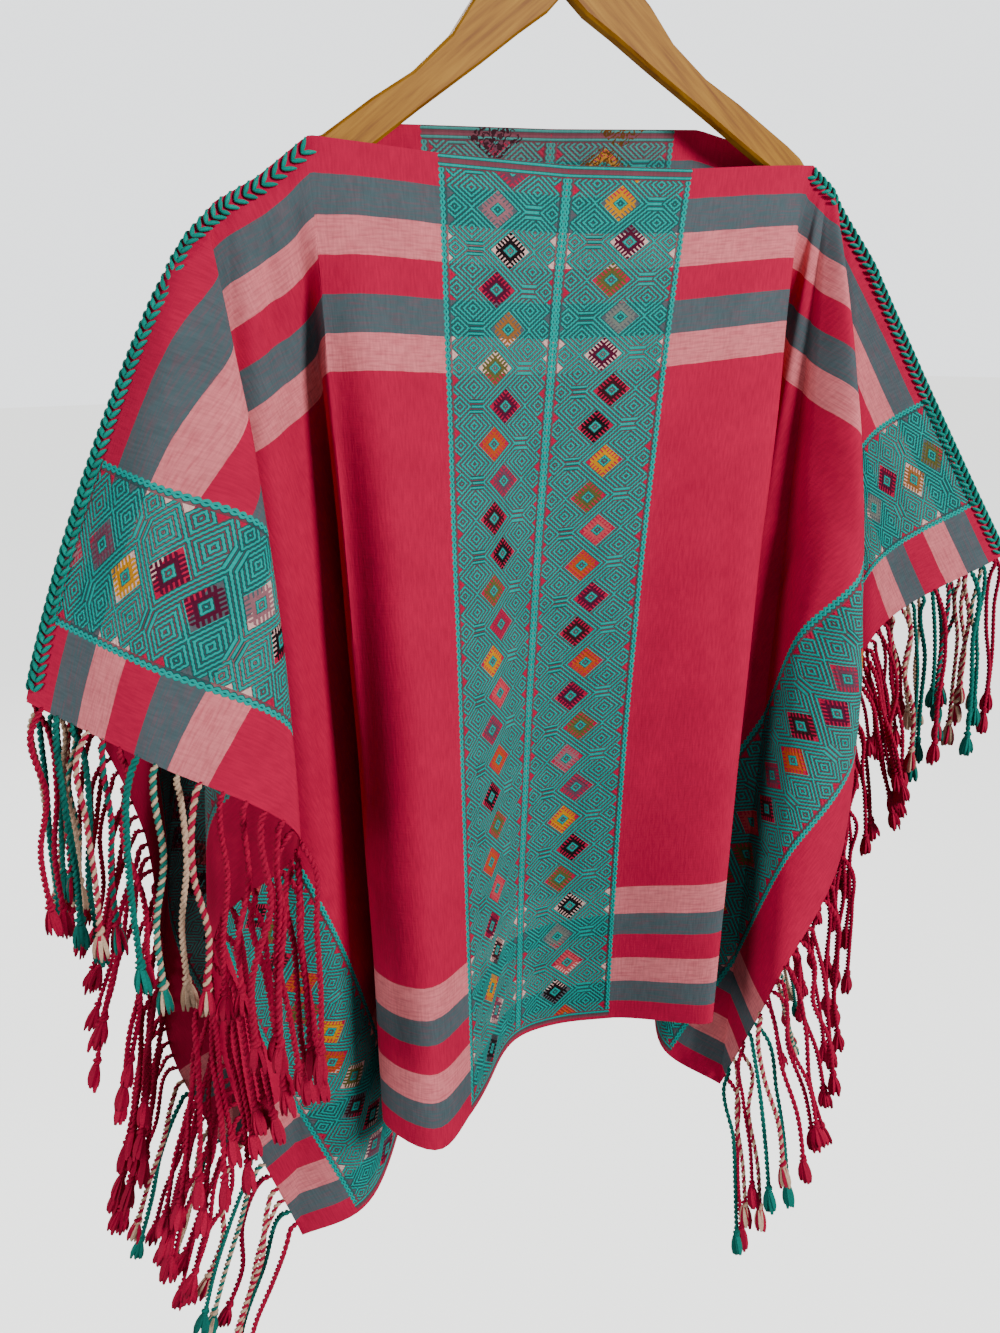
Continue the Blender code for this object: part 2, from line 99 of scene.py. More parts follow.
# The folds, in cm. Each row is a line of cloth: its name, where it starts on the top edge (u), where it ends
# on the rim (u, v), that end's x and y, how far its middle bows out in x and y, and its slack. What is left
# off the end of a row is 0.
FOLD_COLUMNS = 9
FRONT_FOLDS = (
    ("left seam", -33, -62, 0, -41, -4.5, -0.8), ("left sleeve", -30.5, -62, 11, -34.6, -11, -0.8, -1.5),
    ("left ridge", -28.5, -62, 22.6, -26.3, -14.5, 0.8, -1),
    ("left tuck", -27.5, -62, 36, -31, -6.2, -0.5, 0, 0.5),
    ("left side", -27, -62, 57, -31, -4.3, 0.5), ("left corner", -26.5, -62, 73, -27.1, -5.3),
    ("left band, outer", -26, -56.3, 73, -22.7, -7.5), ("left band, inner", -25, -45.2, 73, -16.5, -2.5),
    ("left valley", -22.5, -33, 73, -11, 1.5, 0, 1), ("left column, edge", -20.6, -21.5, 73, -20.5, -9.6),
    ("left column", -16, -16, 73, -17.8, -14.6), ("centre band, left", -10.4, -11, 73, -13.8, -11.5),
    ("centre line", 0, 0, 73, -6.1, -4, -0.8), ("centre band, right", 11, 11.2, 73, 2.5, -5.8, -1),
    ("right column", 21.2, 21.5, 73, 9, -12.3), ("right valley", 22.8, 32, 73, 5.5, 0, 0, 1.5),
    ("right band, inner", 23.6, 45.2, 73, 12, 1.5), ("right band, outer", 24.2, 56.3, 73, 9, -6),
    ("right corner", 24.6, 62, 73, 13.3, -8.6), ("right side", 25, 62, 57.3, 14.5, -14),
    ("right ridge", 25.6, 62, 43, 22.3, -12.5, 0, -3), ("right tuck", 26.5, 62, 31, 28, -6, 0, 0, 1.5),
    ("right sleeve", 28, 62, 17.6, 30.5, -5.8, 0.5, 0, 2), ("right seam", 33, 62, 0, 43, -8.5, -0.2),
)
BACK_FOLDS = (
    ("left seam", -33, -62, 0, -41, -4, -0.8), ("left sleeve", -31.5, -62, 14, -38, 5, 0, 1),
    ("left cuff", -30.5, -62, 30, -34.8, 1.6, 0, 0.5, 1),
    ("left edge", -29.5, -62, 43, -34.5, 3.5, 0, 0.5, 0.5),
    ("left side", -28.5, -62, 57, -35, 5, 0, 0.5), ("left corner", -27.5, -62, 73, -31, 5),
    ("left band, outer", -27, -56.3, 73, -28, 8.5), ("left band, inner", -25.5, -45.2, 73, -23, 15),
    ("left valley", -22.5, -33, 73, -18, 4.5), ("left column", -20, -20.6, 73, -13, 15),
    ("centre band, left", -10.5, -11, 73, -7, 6.5), ("centre line", 0, 0, 73, 0.5, 14),
    ("centre band, right", 11, 11, 73, 8, 6), ("right column", 21, 21.5, 73, 13.5, 14.5),
    ("right valley", 23.5, 33, 73, 17.5, 4.5), ("right band, inner", 25.5, 45.2, 73, 23.5, 14.5),
    ("right band, outer", 27, 56.3, 73, 26.5, 7), ("right corner", 27.5, 62, 73, 28.5, 3.2),
    ("right side", 28.2, 62, 57, 30, 3.2), ("right edge", 29, 62, 43, 33, 4, 0, 1),
    ("right cuff", 30.5, 62, 22, 39.5, 6, 0, 2), ("right sleeve", 32, 62, 10, 43.5, 0, 0, 0.5),
    ("right seam", 33, 62, 0, 43, -8, -0.2),
)

# Creases laid on the folds: a soft ridge (height over 0) or trough from (u, v) to (u, v), in cm on the flat
# cloth, with its half width in cm and its height in mm.
FRONT_CREASES = (
    (-20.4, -4, -20.8, 74, 1.7, -8), (23.4, 6, 28.5, 62, 1.6, -6), (39.4, 21, 39.7, 34, 1.2, -2.6),
    (40.5, 20, 47, 36, 1.5, 2.2), (-24.6, 0.5, -27.5, 12, 1.3, -3.6), (-19, 1, -23, 14, 1.6, -3),
    (-17.5, 6, -19.5, 30, 1.8, 2.2), (-15, 12, -13.5, 38, 1.5, -2.2), (-12.5, 30, -15.5, 58, 1.6, 1.8),
    (-26, 12, -34, 44, 2.2, 2.4), (-31, 20, -44, 46, 2, -2.2), (-38, 4, -52, 12, 1.4, 1.5),
    (-41, 12, -55, 22, 1.6, -1.8), (-6, 20, -5, 48, 1.7, 1.4), (4, 34, 6.5, 62, 1.9, -1.6),
    (14, 22, 12.5, 60, 2, 1.8), (17.5, 14, 18.5, 48, 1.8, -2.2), (20.5, 4, 21.5, 30, 1.6, 2),
    (25, 16, 29, 44, 2, -2.2), (30, 30, 37, 66, 2.4, 2), (33, 6, 50, 12, 1.6, 1.6),
    (36, 16, 52, 30, 1.8, -1.8), (-4, 2, -16, 5, 1.6, 0.9), (6, 3, 19, 4.5, 1.5, -0.9),
)
BACK_CREASES = (
    (-16, 6, -18, 36, 1.8, 2.2), (-6, 18, -4.5, 50, 1.8, -1.6), (5, 12, 6.5, 44, 1.7, 1.6),
    (16, 10, 17.5, 46, 1.9, -2.2), (24, 16, 31, 52, 2.2, 2.2), (-25, 14, -34, 50, 2.2, -2.2),
    (34, 6, 51, 14, 1.6, 1.6), (-35, 6, -52, 15, 1.6, -1.6),
)
SWELLS = ((0.55, 0.16, 0.35), (0.23, 0.61, 0.25), (1.31, 0.42, 0.18))  # waves in 10 cm of u and v, and mm

STRIPES = (  # where each starts, in cm below the joined edge, and its cotton
    (0.0, "crimson"), (2.2, "grey"), (4.65, "pink"), (7.25, "crimson"), (9.85, "grey"), (12.35, "pink"),
    (14.95, "crimson"), (60.1, "pink"), (62.4, "grey"), (64.5, "crimson"), (66.75, "pink"),
    (69.0, "grey"), (71.1, "crimson"),
)

STRIPE_EDGE = 0.1  # cm that the border of a stripe is uneven
CLOTH_LENGTH = 73.0  # cm from the joined edge to the hem
PANEL_HALF = 62.0  # cm from the centre line to a side edge
STRIP_HALF = 5.5  # cm, half a brocaded strip
SIDE_STRIP = 50.75  # cm from the centre line to the middle of a side strip
SIDES_FROM = 28.0  # cm from the centre line, between the centre strips and a side strip
HEM_BARE = 0.3  # cm of plain cloth below the strips
CELL = 0.275  # cm
LEVEL = 2.79  # cm from one coloured diamond to the next
SIDE_LEVELS = (2.45, 2.90)  # the same in the left and right side strips, beaten closer or looser
CENTRE_SHIFTS = (0.746, 0.057)  # levels that the chart is ahead of the top edge, left and right strip
SIDE_SHIFTS = (-0.2245, 0.0)
# In cells:
LEVEL_CELLS = 14.0
PITCH = 1.84  # from one teal thread to the next
HEART = 2.3  # that a coloured diamond stands off the middle
HEART_CORE, HEART_SIZE = 2.6, 6.54  # the teal middle of a coloured diamond, and the whole of it
SCROLL = 10.5  # from the middle to the column of scrolls
OCTAGON_FROM, FAR_FROM = 7.74, 13.26  # round a scroll to its octagon, and to the scroll on the far side
OCTAGON_SIDE = 3.5  # that the octagon's level sides are pushed out
SMALL, SMALL_SIZE, SMALL_RING = 15.8, 4.56, 6.86  # from the middle to the small diamonds, size, first ring
TEETH_FROM, TIP_FROM, TOOTH, TOOTH_GAP = 4.2, 5.0, 0.95, 0.58  # the teeth that edge a coloured diamond
SPOT_FROM = 13.0  # from the middle to the triangles of ground beside the border
NEAR_SPOT, FAR_SPOT = 11.3, 8.0  # round each scroll to those triangles
BORDER, CHAIN = 17.9, 19.35  # from the middle to the border, and to the chain in it
CHAIN_SWING = 0.52  # of each of the chain's two threads
# In cm:
EYE = 0.44  # from one eye of the chain to the next
ROW = 0.18  # two rows of weft of 0.9 mm, so that they show
STRAIGHT, STRAIGHT_FIRST, STRAIGHT_STEP = 0.95, 0.16, 0.29  # the straight threads at both ends of a strip
ARM_SLOPE = 38.0  # degrees that the hanger's arms fall
YARNS = {
    "k": "#14060C", "n": "#380C16", "w": "#52062A", "r": "#9A1C3E", "p": "#94626A", "s": "#C2484F",
    "o": "#B84A1C", "t": "#96602F", "y": "#CC8800", "l": "#5E5A2C", "m": "#6A3A4C", "g": "#6E736C",
}
CHART_LENGTH = 30
CHART = {  # coloured diamonds from the top edge down
    "centre left": "mmpkwtlwomnklrysmokloswnymklwm",
    "centre right": "yywlgwnkylsownowlpmyklkgskowny",
    "side left": "pmywwpkonwylkowrmsklnolyolnkmw",
    "side right": "sltwgyrkmoymwnomnsllyolkmnwosk",
}
HEATHER = {"crimson": 0.16, "grey": 0.42, "pink": 0.75}  # how strongly each cotton is flecked


def linear(code):
    """An sRGB hex value as the linear colour that Blender's sockets take."""
    parts = [int(code[i:i + 2], 16) / 255 for i in (1, 3, 5)]
    return tuple(c / 12.92 if c <= 0.04045 else ((c + 0.055) / 1.055) ** 2.4 for c in parts)


def colour(name, description, code):
    return bpy.props.FloatVectorProperty(name=name, description=description, subtype="COLOR", size=3,
                                         min=0.0, max=1.0, default=linear(code))


def size(name, description, metres):
    return bpy.props.FloatProperty(name=name, description=description, default=metres, unit="LENGTH")


class PonchoCloth(bpy.types.PropertyGroup):
    thickness: size("Thickness", "Wall of the cotton cloth", 0.0012)
    panel_drop: size("Panel drop", "Flat height of one panel", 0.73)
    crimson: colour("Crimson", "Field cotton", "#B80C3E")
    grey: colour("Grey", "Blue-grey stripe", "#4A5C61")
    pink: colour("Pink", "Pale heathered stripe", "#E07A80")
    teal: colour("Teal", "Brocade thread", "#00A096")
    # deep teal is painted shade: the darker side of each raised teal thread
    teal_painted_shade: colour("Deep teal", "Painted shade on one side of each brocade thread", "#004443")


class PonchoFringe(bpy.types.PropertyGroup):
    cord: size("Cord", "Width of a twisted strand", 0.0043)
    twist: size("Twist", "Length of one full turn of the two plies", 0.0088)
    tassel: size("Tassel", "Loose end below the knot", 0.023)
    crimson: colour("Crimson", "Crimson ply", "#A60636")
    cream: colour("Cream", "Cream ply", "#CFAE92")
    teal: colour("Teal", "Teal ply", "#007064")


class PonchoStitch(bpy.types.PropertyGroup):
    yarn: size("Yarn", "Width of the joining yarn", 0.0028)
    pitch: size("Pitch", "From one pair of stitches to the next", 0.0066)
    reach: size("Reach", "How far the braid reaches down the front", 0.0108)
    spine: size("Spine", "From the edge down to the middle of the braid", 0.0056)
    teal: colour("Teal", "Joining yarn", "#008C7C")


class PonchoHanger(bpy.types.PropertyGroup):
    wood: colour("Beech", "Pale wood", "#9A6614")
    grain: colour("Grain", "Darker grain of the wood", "#7E4A10")
    streak: colour("Streak", "Paler streaks between the grain", "#B07C22")
    steel: colour("Steel", "Plain steel wire", "#B9BABC")


class PonchoStage(bpy.types.PropertyGroup):
    floor_drop: size("Floor", "Floor below the lowest tassel", 0.45)
    floor: colour("Floor", "Pale floor", "#E4E5E3")
    sky: colour("Surroundings", "Even light from all round", "#E9ECEE")


def read(at, places, field):
    """Vectors that are known at some places of a line, read at others."""
    return np.column_stack([np.interp(at, places, column) for column in np.transpose(field)])


def top_points(top, u):
    top = np.array(top)
    return read(u, top[:, 0], top[:, 1:])


def run_length(points):
    return np.concatenate([[0.0], np.cumsum(np.linalg.norm(np.diff(points, axis=0), axis=1))])


def smooth(stations, values, at):
    """Smooth curve through the values at the stations, read at the places given."""
    widths = np.diff(stations)[:, None]
    slopes = np.diff(values, axis=0) / widths
    tangents = np.vstack([slopes[:1], (slopes[:-1] * widths[1:] + slopes[1:] * widths[:-1])
                          / (widths[1:] + widths[:-1]), slopes[-1:]])
    span = np.clip(np.searchsorted(stations, at, side="right") - 1, 0, len(stations) - 2)
    width = widths[span]
    t = (at - stations[span])[:, None] / width
    return ((2 * t ** 3 - 3 * t ** 2 + 1) * values[span] + (t ** 3 - 2 * t ** 2 + t) * width * tangents[span]
            + (3 * t ** 2 - 2 * t ** 3) * values[span + 1] + (t ** 3 - t ** 2) * width * tangents[span + 1])


def unit(vectors):
    return vectors / np.maximum(np.linalg.norm(vectors, axis=-1, keepdims=True), 1e-9)


def drape(folds, top, step, levels):
    """A hanging panel: its points in metres and their flat places in cm, both shaped (lines, levels + 1, n),
    and the index of the line at each corner of the hem."""
    names, *columns = zip(*[(*row, 0.0, 0.0, 0.0)[:FOLD_COLUMNS] for row in folds])
    u_top, u_end, v_end, x, y, bow_x, bow_y, slack = np.array(columns, float)
    start = top_points(top, u_top)
    length = np.hypot(u_end - u_top, v_end) - slack
    fall = np.sqrt(length ** 2 - ((x - start[:, 0]) ** 2 + (y - start[:, 1]) ** 2))
    along = np.concatenate([[0.0], np.cumsum(np.hypot(np.diff(u_end), np.diff(v_end)))])
    table = np.column_stack([u_top, x, y, start[:, 2] - fall, bow_x, bow_y, np.zeros(len(folds))])
    breaks = [0, names.index("left corner"), names.index("right corner"), len(folds) - 1]
    built, places, marks = [], [], []
    for first, last in zip(breaks, breaks[1:]):
        spans = max(1, round((along[last] - along[first]) / step))
        at = np.linspace(along[first], along[last], spans + 1)
        lines = smooth(along[first:last + 1], table[first:last + 1], at)
        lines[:, 0] = np.interp(at, along, u_top)
        shared = 1 if first else 0
        marks.append(len(built) - shared)
        built.extend(lines[shared:])
        places.extend(at[shared:])
    built, places = np.array(built), np.array(places)
    t = np.linspace(0.0, 1.0, levels + 1)[None, :, None]
    head = top_points(top, built[:, 0])[:, None, :]
    points = head * (1 - t) + built[:, None, 1:4] * t + built[:, None, 4:7] * 4 * t * (1 - t)
    edge = read(places, along, np.column_stack([u_end, v_end]))
    begin = np.column_stack([built[:, 0], np.zeros(len(built))])
    flat = begin[:, None, :] * (1 - t) + edge[:, None, :] * t
    return points * CM, flat, marks[1:]


def faces_out(points, sign):
    """Unit normals of a grid of points, pointing to the panel's outer side."""
    along, down = np.gradient(points, axis=(0, 1))
    return unit(np.cross(down, along)) * sign


def relief(flat, creases):
    """How far the creases and slow swells stand off the folds, in metres."""
    rise = np.zeros(flat.shape[:2])
    for k, (*ends, half_width, height) in enumerate(creases):
        start, finish = np.array(ends).reshape(2, 2)
        run = finish - start
        s = ((flat - start) @ run) / (run @ run)
        aside = (flat - start) @ np.array([-run[1], run[0]]) / np.linalg.norm(run)
        aside = aside + CREASE_WANDER * half_width * np.sin(5.1 * s + 1.7 * k)
        swell = np.clip(np.sin(np.pi * np.clip(s, 0.0, 1.0)), 0.0, 1.0) ** 0.8
        width = half_width * (0.8 + 0.35 * np.sin(2.3 * s + k))
        rise += height * MM * swell * np.exp(-(aside / width) ** 2)
    for k, (in_u, in_v, height) in enumerate(SWELLS):
        phase = 2 * np.pi * (flat[..., 0] * in_u + flat[..., 1] * in_v) / 10 + 1.3 * k
        rise += height * MM * np.sin(phase) * np.sin(0.37 * flat[..., 0] + 0.9 * k)
    return rise


# A panel's folds, top line and creases, and the side of its surface that faces out.
PANELS = {"front": (FRONT_FOLDS, FRONT_TOP, FRONT_CREASES, 1.0),
          "back": (BACK_FOLDS, BACK_TOP, BACK_CREASES, -1.0)}
SHEETS = {}


def sheet_of(panel):
    """The fine mid-surface of a panel, kept for what lies on it."""
    if panel not in SHEETS:
        folds, top, creases, sign = PANELS[panel]
        points, flat, marks = drape(folds, top, SPREAD, LEVELS)
        away = faces_out(points, sign)
        fade = np.clip(flat[..., 1:] / RELIEF_FROM, 0.0, 1.0)
        points = points + away * relief(flat, creases)[..., None] * fade
        SHEETS[panel] = (points, flat, faces_out(points, sign), marks)
    return SHEETS[panel]


def deselect():
    for thing in bpy.context.selected_objects:
        thing.select_set(False)


def linked(name, data):
    thing = bpy.data.objects.new(name, data)
    bpy.context.scene.collection.objects.link(thing)
    return thing


def new_mesh(name, points, faces, material, flat=None, yarn=None, inside=None, sharp=50.0):
    """One finished piece at the origin, smooth but for its sharp edges."""
    mesh = bpy.data.meshes.new(name)
    mesh.from_pydata(points.tolist(), [], faces)
    if flat is not None:
        layer = mesh.uv_layers.new(name="flat")
        spots = np.empty(len(mesh.loops), int)
        mesh.loops.foreach_get("vertex_index", spots)
        layer.data.foreach_set("uv", np.asarray(flat, float)[spots].ravel())
    if yarn is not None:
        attribute = mesh.color_attributes.new(name="yarn", type="FLOAT_COLOR", domain="POINT")
        attribute.data.foreach_set("color", np.column_stack([yarn, np.ones(len(yarn))]).ravel())
    if inside is not None:
        attribute = mesh.attributes.new(name="inside", type="FLOAT", domain="POINT")
        attribute.data.foreach_set("value", np.asarray(inside, float))
    mesh.materials.append(material)
    mesh.validate()
    piece = linked(name, mesh)
    deselect()
    piece.select_set(True)
    bpy.context.view_layer.objects.active = piece
    bpy.ops.object.shade_smooth_by_angle(angle=math.radians(sharp))
    piece.select_set(False)
    return piece


def feed(tree, node, links):
    """Set or link a node's inputs."""
    for socket, value in links.items():
        if isinstance(value, bpy.types.NodeSocket):
            tree.links.new(value, node.inputs[socket])
        else:
            node.inputs[socket].default_value = value


def add(tree, kind, links=None, out=0, stops=None, ramp="LINEAR", **settings):
    """One node with its settings, its inputs and its colour stops, given by the output asked for."""
    node = tree.nodes.new(f"ShaderNode{kind}")
    for key, value in settings.items():
        setattr(node, key, value)
    feed(tree, node, links or {})
    if stops:
        node.color_ramp.interpolation = ramp
        shades = node.color_ramp.elements
        shades.remove(shades[-1])
        shades[0].position = stops[0][0]
        for k, (place, shade) in enumerate(stops):
            stop = shades.new(place) if k else shades[0]
            stop.color = (*shade, 1.0)
    return node.outputs[out]


def new_material(name):
    made = bpy.data.materials.new(name)
    made.use_nodes = True
    return made, made.node_tree, made.node_tree.nodes["Principled BSDF"]


SIGNS = {"+": "ADD", "-": "SUBTRACT", "*": "MULTIPLY", "/": "DIVIDE", "*+": "MULTIPLY_ADD",
         ">": "GREATER_THAN", "<": "LESS_THAN", "min": "MINIMUM", "max": "MAXIMUM", "abs": "ABSOLUTE",
         "sin": "SINE", "round": "ROUND", "fold": "PINGPONG"}
# What can be done to a value: the node, the sockets that it fills, its output and its settings. A pick takes
# its first choice where the value is 0, and its second where that is 1.
ACTS = {
    **{sign: ("Math", (0, 1, 2), 0, {"operation": operation}) for sign, operation in SIGNS.items()},
    "pick": ("Mix", (0, 2, 3), 0, {}),
    "mix": ("Mix", (0, 6, 7), 2, {"data_type": "RGBA"}),
    "range": ("MapRange", (0, 1, 2, 3, 4), 0, {}),
    "scale": ("VectorMath", (0, "Scale"), 0, {"operation": "SCALE"}),
    "mirror": ("VectorMath", (0,), 0, {"operation": "ABSOLUTE"}),
    "turn": ("Mapping", ("Vector", "Rotation"), 0, {}),
    "stretch": ("Mapping", ("Vector", "Scale"), 0, {}),
    "noise": ("TexNoise", ("Vector", "Scale", "Detail", "Roughness"), 0, {}),
    "bump": ("Bump", ("Height", "Strength", "Distance"), 0, {}),
}


def work_out(tree, wires, steps):
    """Add the nodes of each step: its name, a value, and what is done to that from left to right, each act
    with what it takes behind it. The result is kept under the step's name."""
    for name, value, *rest in steps:
        marks = [i for i, word in enumerate(rest) if word in ACTS]
        for mark, after in zip(marks, [*marks[1:], None]):
            kind, sockets, out, settings = ACTS[rest[mark]]
            takes = [(*linear(take), 1.0) if str(take).startswith("#") else wires.get(take, take)
                     for take in (value, *rest[mark + 1:after])]
            value = add(tree, kind, dict(zip(sockets, takes)), out, **settings)
        wires[name] = value
    return wires


# The brocade, worked out from the flat place. Distances are in cells from "cells" on.
BROCADE = (
    ("u", "flat x", "*", 1 / CM),
    ("v", "flat y", "*", 1 / CM),
    ("away", "u", "abs"),
    ("outer", "away", ">", SIDES_FROM),
    ("right", "u", ">", 0.0),
    ("middle", "outer", "pick", STRIP_HALF, SIDE_STRIP),
    ("cells", "away", "-", "middle", "/", CELL),
    ("side rate", "right", "pick", 1 / SIDE_LEVELS[0], 1 / SIDE_LEVELS[1]),
    ("rate", "outer", "pick", 1 / LEVEL, "side rate"),
    ("centre shift", "right", "pick", *CENTRE_SHIFTS),
    ("side shift", "right", "pick", *SIDE_SHIFTS),
    ("shift", "outer", "pick", "centre shift", "side shift"),
    ("level", "v", "*+", "rate", "shift"),
    ("nearest", "level", "round"),
    ("place", "nearest", "*+", 1 / CHART_LENGTH, 0.5 / CHART_LENGTH),
    ("y", "level", "-", "nearest", "abs", "*", LEVEL_CELLS),
    ("x", "nearest", "fold", 1.0, "*+", -2.0, 1.0, "*", "cells"),
    # the scroll on the ribbon's side, wrapped by an octagon
    ("to left", "x", "+", SCROLL),
    ("down", LEVEL_CELLS / 2, "-", "y"),
    ("slope", "down", "-", "to left", "+", PITCH),
    ("level side", "down", "+", OCTAGON_SIDE),
    ("wrap", "to left", "+", "down", "max", "slope", "max", "level side"),
    ("near", "to left", "abs", "+", "down"),
    ("ring", "wrap", ">", OCTAGON_FROM, "pick", "near", "wrap"),
    # the scroll on the far side
    ("far", "x", "-", SCROLL, "abs", "+", "down"),
    ("ring", "wrap", ">", FAR_FROM, "pick", "ring", "far"),
    # small diamonds along both borders
    ("side", "x", "abs"),
    ("small", "side", "-", SMALL, "abs", "+", "y"),
    ("is small", "small", "<", SMALL_SIZE),
    ("small ring", "small", "+", SMALL_RING),
    ("ring", "is small", "pick", "ring", "small ring"),
    # the coloured diamond and its teal heart, its edge combed into short teeth
    ("heart x", "x", "-", HEART, "abs"),
    ("heart", "heart x", "+", "y"),
    ("is heart", "heart", "<", HEART_CORE),
    ("heart ring", "heart", "+", SCROLL),
    ("ring", "is heart", "pick", "ring", "heart ring"),
    ("is yarn", "heart", "<", HEART_SIZE, "-", "is heart"),
    ("deep", "heart", ">", TEETH_FROM),
    ("tip", "heart x", ">", TIP_FROM),
    ("gap", "heart x", "-", "y", "fold", TOOTH, ">", TOOTH_GAP, "*", "deep", "max", "tip"),
    # the border, two threads that cross each other in a chain of small eyes
    ("rim", "cells", "abs"),
    ("is border", "rim", ">", BORDER),
    ("eye", "v", "*", math.pi / EYE, "sin", "abs", "*", CHAIN_SWING),
    ("edge", CHAIN - 0.9, "-", "rim", "*", 4.0),
    ("chain", "rim", "-", CHAIN, "abs", "-", "eye", "abs", "*", 1.4, "max", "edge"),
    ("to hem", CLOTH_LENGTH, "-", "v"),
    ("is woven", "to hem", ">", HEM_BARE),
    ("in strip", "rim", "-", "eye", "<", CHAIN + 0.4, "*", "is woven"),
    # ground shows in small triangles between border and rings
    ("near spot", "wrap", ">", NEAR_SPOT),
    ("far spot", "far", ">", FAR_SPOT),
    ("is wide", "side", ">", SPOT_FROM),
    ("spot", "x", ">", 0.0, "pick", "near spot", "far spot", "*", "is wide"),
    ("spot", "is small", "pick", "spot", 0.0),
    # the threads climb in small steps, one to each row of weft
    ("row", "v", "*", 1 / ROW, "fold", 0.5, "*+", 0.5, -0.125),
    ("thread", "ring", "-", SCROLL, "fold", PITCH / 2, "/", PITCH / 2, "+", "row"),
    ("thread", "is border", "pick", "thread", "chain"),
    # straight threads along both ends of a strip
    ("end", "v", "min", "to hem"),
    ("is end", "end", "<", STRAIGHT),
    ("straight", "end", "-", STRAIGHT_FIRST, "fold", STRAIGHT_STEP, "/", STRAIGHT_FIRST),
    ("thread", "is end", "pick", "thread", "straight"),
    ("is plain", "is end", "max", "is border"),
    ("is yarn", "is plain", "pick", "is yarn", 0.0),
    ("spot", "is plain", "pick", "spot", 0.0),
    # stripes across the drop, their borders uneven
    ("drop", "streaks", "*+", STRIPE_EDGE * CM, "flat y", "/", "panel drop"),
)
# The colours, laid over one another: how far, then what lies below and what lies above.
COTTON = (
    ("darker", 0.5, "mix", "stripe", "#9C2340"),
    ("ground", "streaks", "range", 0.42, 0.72, "*", "heather", "mix", "stripe", "darker"),
    # the ground of the pale stripes is woven whiter inside the strips
    ("bare", "heather", "range", 0.5, 0.75, 0.0, 0.65, "mix", "ground", "#E6CFC2"),
    # teal threads over their groove, which is the ground seen between the raised threads and darkened with
    # painted shade, and the coloured diamonds
    ("groove in painted shade", 0.36, "mix", "#1F4E50", "ground"),
    ("brocade", "thread", "range", 0.70, 0.88, "mix", "teal", "groove in painted shade"),
    ("brocade", "spot", "mix", "brocade", "bare"),
    ("centre", "right", "mix", "centre left", "centre right"),
    ("sides", "right", "mix", "side left", "side right"),
    ("yarn", "outer", "mix", "centre", "sides"),
    ("combed", "gap", "mix", "yarn", "bare"),
    ("brocade", "is yarn", "mix", "brocade", "combed"),
    # the inside: duller, with the coloured yarns in loose loops round each diamond
    ("brocade", "inside", "*", 0.3, "mix", "brocade", "groove in painted shade"),
    ("in loops", "heart", "<", 8.6),
    ("floats", 0.85, "mix", "yarn", "#2A0C12"),
    ("brocade", "loops", ">", 0.55, "*", "in loops", "*", "inside", "mix", "brocade", "floats"),
    # paler and darker threads, and slow clouds of dye
    ("cloud", "clouds", "range", 0.3, 0.7, 0.93, 1.06),
    ("tone", "crosses", "range", 0.3, 0.7, 0.90, 1.08, "*", "cloud"),
    ("cloth", "in strip", "mix", "ground", "brocade", "scale", "tone"),
    # the weave's own relief, and the brocade's above it
    ("weave", "streaks", "+", "crosses", "*", 0.30),
    ("bump", 1.0, "-", "thread", "*", 0.9, "*", "in strip", "+", "weave", "bump", 0.7, 0.0009),
)


def woven_cotton(name):
    """Hand-woven cotton with streaks along the warp, matt; its supplementary-weft brocade stands off it."""
    cloth = bpy.context.scene.poncho_cloth
    made, tree, shader = new_material(name)
    uv = add(tree, "UVMap", uv_map="flat")
    across = add(tree, "SeparateXYZ", {"Vector": uv})
    wires = {"uv": uv, "flat x": across, "flat y": across.node.outputs["Y"], "panel drop": cloth.panel_drop,
             "inside": add(tree, "Attribute", out="Fac", attribute_name="inside"),
             "loops": add(tree, "TexWave", {"Vector": uv, "Scale": 90.0, "Distortion": 11.0, "Detail": 2.0,
                                            "Detail Scale": 2.0}, "Fac", bands_direction="DIAGONAL")}
    # threads 0.9 mm apart are drawn 1.6 mm apart, so that they show
    for noise, scale, detail in (("streaks", (70.0, 620.0, 1.0), 2.0), ("crosses", (620.0, 90.0, 1.0), 1.0),
                                 ("clouds", (26.0, 26.0, 26.0), 3.0)):
        work_out(tree, wires, ((noise, "uv", "stretch", scale, "noise", 1.0, detail),))
    work_out(tree, wires, BROCADE)
    for ramp, shades in (("stripe", {key: tuple(getattr(cloth, key)) for key in HEATHER}),
                         ("heather", {key: (share,) * 3 for key, share in HEATHER.items()})):
        wires[ramp] = add(tree, "ValToRGB", {"Fac": wires["drop"]}, ramp="CONSTANT", stops=[
            ((v + STRIPE_EDGE / 2) * CM / cloth.panel_drop if v else 0.0, shades[cotton])
            for v, cotton in STRIPES])
    # each teal thread turns from teal to deep teal across its width: painted shade on its far side
    teal, deep = tuple(cloth.teal), tuple(cloth.teal_painted_shade)
    wires["teal"] = add(tree, "ValToRGB", {"Fac": wires["thread"]}, stops=[
        (0.0, teal), (0.40, teal), (0.60, deep), (0.80, deep)])
    for strip, letters in CHART.items():
        wires[strip] = add(tree, "ValToRGB", {"Fac": wires["place"]}, ramp="CONSTANT", stops=[
            (k / CHART_LENGTH, linear(YARNS[letter])) for k, letter in enumerate(letters)])
    work_out(tree, wires, COTTON)
    feed(tree, shader, {"Base Color": wires["cloth"], "Normal": wires["bump"], "Roughness": 0.9,
                        "Specular IOR Level": 0.2})
    return made


